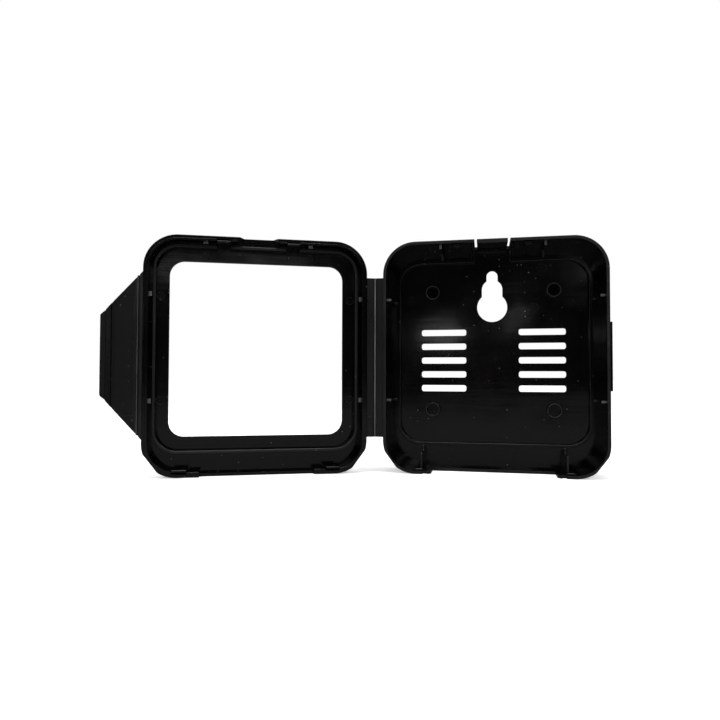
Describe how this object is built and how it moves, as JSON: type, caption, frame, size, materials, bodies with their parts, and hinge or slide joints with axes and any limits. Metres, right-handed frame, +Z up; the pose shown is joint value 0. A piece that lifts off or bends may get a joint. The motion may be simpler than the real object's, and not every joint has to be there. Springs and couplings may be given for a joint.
{
  "type": "mobile hotspot enclosure",
  "caption": "Book-style plastic wall enclosure for a square mobile hotspot: vented back tray with keyhole, windowed cover on a living hinge, fold-over closure flap and cable outlet.",
  "frame": {"origin": "centre of the tray's flat back face, which goes against the wall", "axes": "+Y out of the back towards the wall, +Z up, +X to the right when the open tray is looked into"},
  "size_m": [0.2455, 0.0752, 0.1216],
  "materials": {
    "black_plastic": "semi-gloss black moulded polypropylene"
  },
  "bodies": {
    "back": {"back_panel": "black_plastic", "tray_wall": "black_plastic", "support_ring": "black_plastic", "tray_gussets": "black_plastic", "standoff_bosses": "black_plastic", "tray_snap_lugs": "black_plastic", "tray_foot_lugs": "black_plastic", "cable_bay_ribs": "black_plastic", "cable_prongs": "black_plastic", "latch_root_rib": "black_plastic", "strike_ledge": "black_plastic", "tray_hinge_flange": "black_plastic", "living_hinge_web": "black_plastic"},
    "cover": {"cover_wall": "black_plastic", "cover_face": "black_plastic", "locating_tongue": "black_plastic", "cover_ring_rib": "black_plastic", "cover_gussets": "black_plastic", "cover_top_catches": "black_plastic", "cover_foot_catches": "black_plastic", "cover_hinge_flange": "black_plastic", "flap_root_strip": "black_plastic", "flap_hinge_web": "black_plastic"},
    "flap": {"flap_panel": "black_plastic", "flap_hook_rib": "black_plastic", "flap_pull_lip": "black_plastic"},
    "latch": {"latch_tab": "black_plastic"}
  },
  "joints": [
    {"name": "cover_hinge", "type": "hinge", "parent": "back", "child": "cover", "pos_m": [-0.0609, -0.0221, 0], "axis": [0, 0, 1], "range_deg": [-22.9, 157.1]},
    {"name": "flap_hinge", "type": "hinge", "parent": "cover", "child": "flap", "pos_m": [-0.17142, -0.0677, 0], "axis": [0, 0, 1], "range_deg": [-15, 90]},
    {"name": "latch_flex", "type": "hinge", "parent": "back", "child": "latch", "pos_m": [0, -0.0018, 0.05995], "axis": [1, 0, 0], "range_deg": [0, 4], "stiffness_Nm_per_rad": 0.3}
  ]
}
